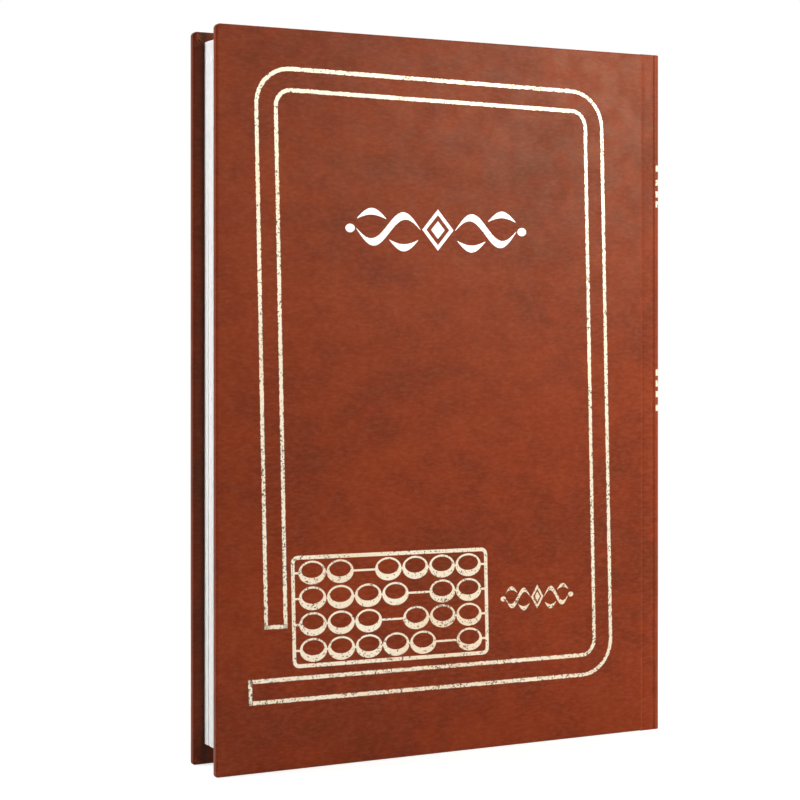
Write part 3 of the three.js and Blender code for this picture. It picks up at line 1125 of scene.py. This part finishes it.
# %% Lines, their opening and their caps
LINE = 1.9 * MM
frame_x, frame_z = -4.7 * MM, 156.7 * MM
OUTER_WIDTH, OUTER_HEIGHT = 167.4 * MM, 259.3 * MM
INNER_WIDTH, INNER_HEIGHT = 150.2 * MM, 241.9 * MM
OUTER_CORNER, INNER_CORNER = 16.4 * MM, 7.8 * MM
band_end_z = 57 * MM
band_end_x = -95.8 * MM
left = frame_x - OUTER_WIDTH / 2
left_inner = frame_x - INNER_WIDTH / 2 + LINE
foot = frame_z - OUTER_HEIGHT / 2
foot_inner = frame_z - INNER_HEIGHT / 2 + LINE
open_to_x = left + 22 * MM


def opened(shape):
    """Cuts the lower left corner away and draws the lower line out to the end of its band."""
    edit(shape)
    cut_all((((open_to_x, 0, 0), (1, 0, 0)), ((0, 0, band_end_z), (0, 0, 1))))
    pick(shape, "FACE", lambda ps: max(p.x for p in ps) < open_to_x + ROOM
         and max(p.z for p in ps) < band_end_z + ROOM)
    bpy.ops.mesh.delete(type="FACE")
    pick(shape, "EDGE", lambda ps: all(near(p.x, open_to_x) and p.z < band_end_z for p in ps))
    extrude(band_end_x - open_to_x, 0, 0)
    return done(shape)


frame_shapes = [
    opened(rounded_line(
        "outer line", frame_x, frame_z, OUTER_WIDTH, OUTER_HEIGHT, OUTER_CORNER, LINE)),
    opened(rounded_line(
        "inner line", frame_x, frame_z, INNER_WIDTH, INNER_HEIGHT, INNER_CORNER, LINE)),
    panel("side cap", (left + left_inner) / 2, band_end_z + LINE / 2,
          left_inner - left, LINE, FOIL_Y),
    panel("foot cap", band_end_x + LINE / 2, (foot + foot_inner) / 2,
          LINE, foot_inner - foot, FOIL_Y),
]
frame_foil = stamped("front_frame_foil", frame_shapes, gold_foil, frayed=True)

# %% The lean of the stamping block
SIDE_LEAN = 0.0205
LEVEL_LEAN = 0.0115
LEAN = Matrix((
    (1, 0, -SIDE_LEAN, SIDE_LEAN * frame_z),
    (0, 1, 0, 0),
    (-LEVEL_LEAN, 0, 1, LEVEL_LEAN * frame_x),
    (0, 0, 0, 1),
))
FOOT_LINES = (0, 50 * MM, 0.26)
HEAD_LINES = (260 * MM, CASE_HEIGHT, -0.17)


def swing(piece, below, above, degrees):
    """Turns the part of a piece between two heights a little about the middle of its lines."""
    edit(piece)
    pick(piece, "VERT", lambda ps: below < ps[0].z < above)
    turn, hub = math.radians(degrees), (frame_x, FOIL_Y, (below + above) / 2)
    bpy.ops.transform.rotate(value=turn, orient_axis="Y", center_override=hub)
    return done(piece)


frame_foil.data.transform(LEAN)
swing(frame_foil, *FOOT_LINES)
swing(frame_foil, *HEAD_LINES)
print("frame foil faces:", len(frame_foil.data.polygons))

# %% [markdown]
# ## The counting frame
#
# The counting frame is a plain abacus: a box, four rods and six oval beads on each. A bead has a
# heavier lower rim, as if it were seen a little from above.

# %% Beads and rods
abacus_x, abacus_z = -30 * MM, 63.5 * MM
BOX_WIDTH, BOX_HEIGHT = 92 * MM, 46 * MM
BOX_CORNER, BOX_LINE = 3 * MM, 1.6 * MM
BEAD_WIDTH, BEAD_HEIGHT = 12.4 * MM, 9.8 * MM
BEAD_LINE, HOLE_LIFT, HOLE_WIDEN = 1.75 * MM, 0.9 * MM, 1.1
ROD_PITCH = 10.6 * MM
BEAD_PITCH = 12.7 * MM
ROD_LINE = 0.9 * MM
BEADS = 6
PUSHED_LEFT = (2, 4, 3, 5)
inside_left = abacus_x - BOX_WIDTH / 2 + BOX_LINE
inside_right = abacus_x + BOX_WIDTH / 2 - BOX_LINE
BEAD_GAP = 1.5 * MM


def bead_places(pushed_left):
    """Middles of the beads on a rod, some of them pushed left and the rest right."""
    places = [inside_left + BEAD_GAP + (i + 0.5) * BEAD_PITCH for i in range(pushed_left)]
    rest = range(pushed_left, BEADS)
    return places + [inside_right - BEAD_GAP - (BEADS - i - 0.5) * BEAD_PITCH for i in rest]


first_bead = hollow(
    oval("bead", 0, 0, BEAD_WIDTH, BEAD_HEIGHT), BEAD_LINE, HOLE_LIFT, HOLE_WIDEN,
)
shapes = [rounded_line(
    "box", abacus_x, abacus_z, BOX_WIDTH, BOX_HEIGHT, BOX_CORNER, BOX_LINE)]
for rod, pushed_left in enumerate(PUSHED_LEFT):
    z = abacus_z + (1.5 - rod) * ROD_PITCH
    ends = [inside_left]
    for x in bead_places(pushed_left):
        shapes.append(twin(first_bead, "bead copy", (x, 0, z)))
        ends += [x - BEAD_WIDTH / 2, x + BEAD_WIDTH / 2]
    ends.append(inside_right)
    for low, high in zip(ends[0::2], ends[1::2]):
        shapes.append(panel("rod", (low + high) / 2, z, high - low, ROD_LINE, FOIL_Y))
bpy.data.objects.remove(first_bead)
stamped("front_abacus_foil", shapes, gold_foil).data.transform(LEAN)

# %% [markdown]
# ## Ornaments and bars
#
# Each ornament is a lozenge between two waving strokes with two leaves and a drop. A stroke is
# extruded in steps along a sine wave, thin at its ends and swelled in the middle. On the spine,
# bars wrap round both edges, as strips on a path just above the cloth.


# %% Strokes that swell
THIN = 0.3 * MM
SLIVER = 0.02 * MM
STROKE_STEPS = 20


def swash(name, start, run, rise, waves, thick):
    """A stroke along a wave, as wide at its ends as THIN and in its middle as thick."""
    parts = [i / STROKE_STEPS for i in range(STROKE_STEPS + 1)]
    widths = [THIN + (thick - THIN) * math.sin(math.pi * part) for part in parts]
    path = [(start[0] + run * part, start[1] + rise * math.sin(math.pi * waves * part))
            for part in parts]
    shape = panel(name, *start, SLIVER, THIN, FOIL_Y)
    edit(shape)
    pick(shape, "EDGE", lambda ps: all((p.x - start[0]) * run > 0 for p in ps))
    for step in range(1, STROKE_STEPS + 1):
        x, z = path[step]
        extrude(x - path[step - 1][0], 0, z - path[step - 1][1])
        size = (1, 1, widths[step] / widths[step - 1])
        bpy.ops.transform.resize(value=size, center_override=(x, FOIL_Y, z))
    return done(shape)


# %% The ornaments
DRAWN_WIDTH = 87


def flourish(x, z, width, bold=1.0):
    unit = width / DRAWN_WIDTH
    tall = unit * bold
    parts = [
        hollow(oval("lozenge", x, z, 15 * unit, 17.5 * tall, 4), 1.5 * tall),
        oval("heart", x, z, 6.5 * unit, 7.5 * tall, 4),
    ]
    for side in (-1, 1):
        run = side * 13.5 * unit
        near_leaf = (x + side * 9.5 * unit, z - 4.6 * tall)
        far_leaf = (x + side * 24.5 * unit, z + 4.2 * tall)
        parts += [
            swash("wave", (x + side * 8.4 * unit, z), side * 30 * unit, 5.6 * tall, 2, 4.2 * tall),
            swash("leaf", near_leaf, run, -3.2 * tall, 1, 3 * tall),
            swash("leaf", far_leaf, run, 3 * tall, 1, 2.8 * tall),
            oval("drop", x + side * 41.2 * unit, z, 4.4 * tall, 3.6 * tall, 16),
        ]
    return parts


stamped("front_title_ornament", flourish(-6.5 * MM, 222 * MM, 87 * MM), silver_foil)
stamped("front_small_ornament", flourish(42.5 * MM, 63.5 * MM, 36 * MM, 1.45), gold_foil)

# %% Bars on the spine
BARS = (252.0, 245.7, 240.5, 236.0, 160.3, 155.4, 150.6, 144.4)
BAR_HALF = 1.4
bar_path = moved_in(both_halves(spine_corner(9, 7)), -FOIL)
bars = [strip(f"bar {z}", bar_path, (z - BAR_HALF) * MM, (z + BAR_HALF) * MM) for z in BARS]
stamped("spine_bars_foil", bars, gold_foil, "spine_and_folds")

# %% [markdown]
# ## Floor and light
#
# The photograph is a cut-out on white, lit softly from the right and above, which washes the
# upper right of the cover. The key lamp does that, and a low one beside it lights the foot. A
# fill lamp on the left, a little behind the book, lights the fore edge, and two wide ones light
# the back and the head. The floor and the background are white to the camera, in gloss and
# through glass, and the lamps are set so that a colour renders about as it is written.

# %% Stage
FLOOR_WIDTH = 6.0
FLOOR_GAP = 0.2 * MM
LIFT = 0.77
SHADOW_FROM, SHADOW_TO = 0.2, 0.55
SOFT_SKY = 0.06


def background_seen(tree):
    """1 for rays that show the background: those of the camera, of gloss and of glass."""
    ray = add_node(tree, "LightPath")
    seen = add_node(tree, "Math MAXIMUM", ray["Is Camera Ray"], ray["Is Glossy Ray"])[0]
    return add_node(tree, "Math MAXIMUM", seen, ray["Is Transmission Ray"])[0]


def white_stage(name):
    """Pale floor that holds the shadow near the book and runs out to plain white further away."""
    material, tree = new_material(name)
    away = add_node(tree, "VectorMath LENGTH", coordinates(tree, False))["Value"]
    fade = {"From Min": SHADOW_FROM, "From Max": SHADOW_TO}
    far = add_node(tree, "MapRange", away, named=fade, interpolation_type="SMOOTHSTEP")[0]
    plain = add_node(tree, "BsdfDiffuse", HALF_GREY)[0]
    glow = add_node(tree, "Emission", named={"Strength": LIFT})[0]
    white = add_node(tree, "Emission", named={"Strength": 1.0})[0]
    lifted = add_node(tree, "AddShader", plain, glow)[0]
    shown = add_node(tree, "MixShader", far, lifted, white)[0]
    mixed = add_node(tree, "MixShader", background_seen(tree), plain, shown)[0]
    add_node(tree, "OutputMaterial", mixed)
    return material


clear_selection()
bpy.ops.mesh.primitive_plane_add(size=FLOOR_WIDTH, location=(0, 0, -FLOOR_GAP))
floor = bpy.context.active_object
floor.name = "floor"
floor.data.materials.append(white_stage("white_floor"))
done(floor)

world = bpy.data.worlds.new("studio")
bpy.context.scene.world = world
world.use_nodes = True
tree = world.node_tree
tree.nodes.clear()
strength = add_node(tree, "Math MULTIPLY", background_seen(tree), 1 - SOFT_SKY)[0]
strength = add_node(tree, "Math ADD", strength, SOFT_SKY)[0]
sky = add_node(tree, "Background", (1, 1, 1, 1), strength)[0]
add_node(tree, "OutputWorld", sky)
print("floor is", floor.dimensions.x, "m wide")


# %% Lamps
def lamp(name, place, aim, size, power, colour=(1, 1, 1)):
    data = bpy.data.lights.new(name, "AREA")
    data.shape = "RECTANGLE"
    data.size = data.size_y = size
    data.energy = power
    data.color = colour
    light = bpy.data.objects.new(name, data)
    light.location = place
    light.rotation_euler = (Vector(aim) - Vector(place)).to_track_quat("-Z", "Y").to_euler()
    bpy.context.scene.collection.objects.link(light)
    print("lamp", name, power, "W")
    return light


lamp("key", (0.45, -0.5, 0.48), (0.05, 0, 0.2), 0.35, 3.5, (1, 0.98, 0.9))
low = lamp("low", (0.6, -0.32, 0.06), (0, 0, 0), 0.3, 1.3, (1, 0.96, 0.86))
fill = lamp("fill", (-1.2, 0.3, 0.5), (-0.1, 0, 0.15), 0.3, 13.4, (0.98, 0.99, 1))
low.visible_glossy = False
fill.visible_glossy = False
lamp("back", (0.5, 1.0, 0.9), (0, 0, 0.15), 0.8, 7.5)
lamp("top", (0.0, 0.1, 1.6), (0, 0, 0), 1.2, 4)
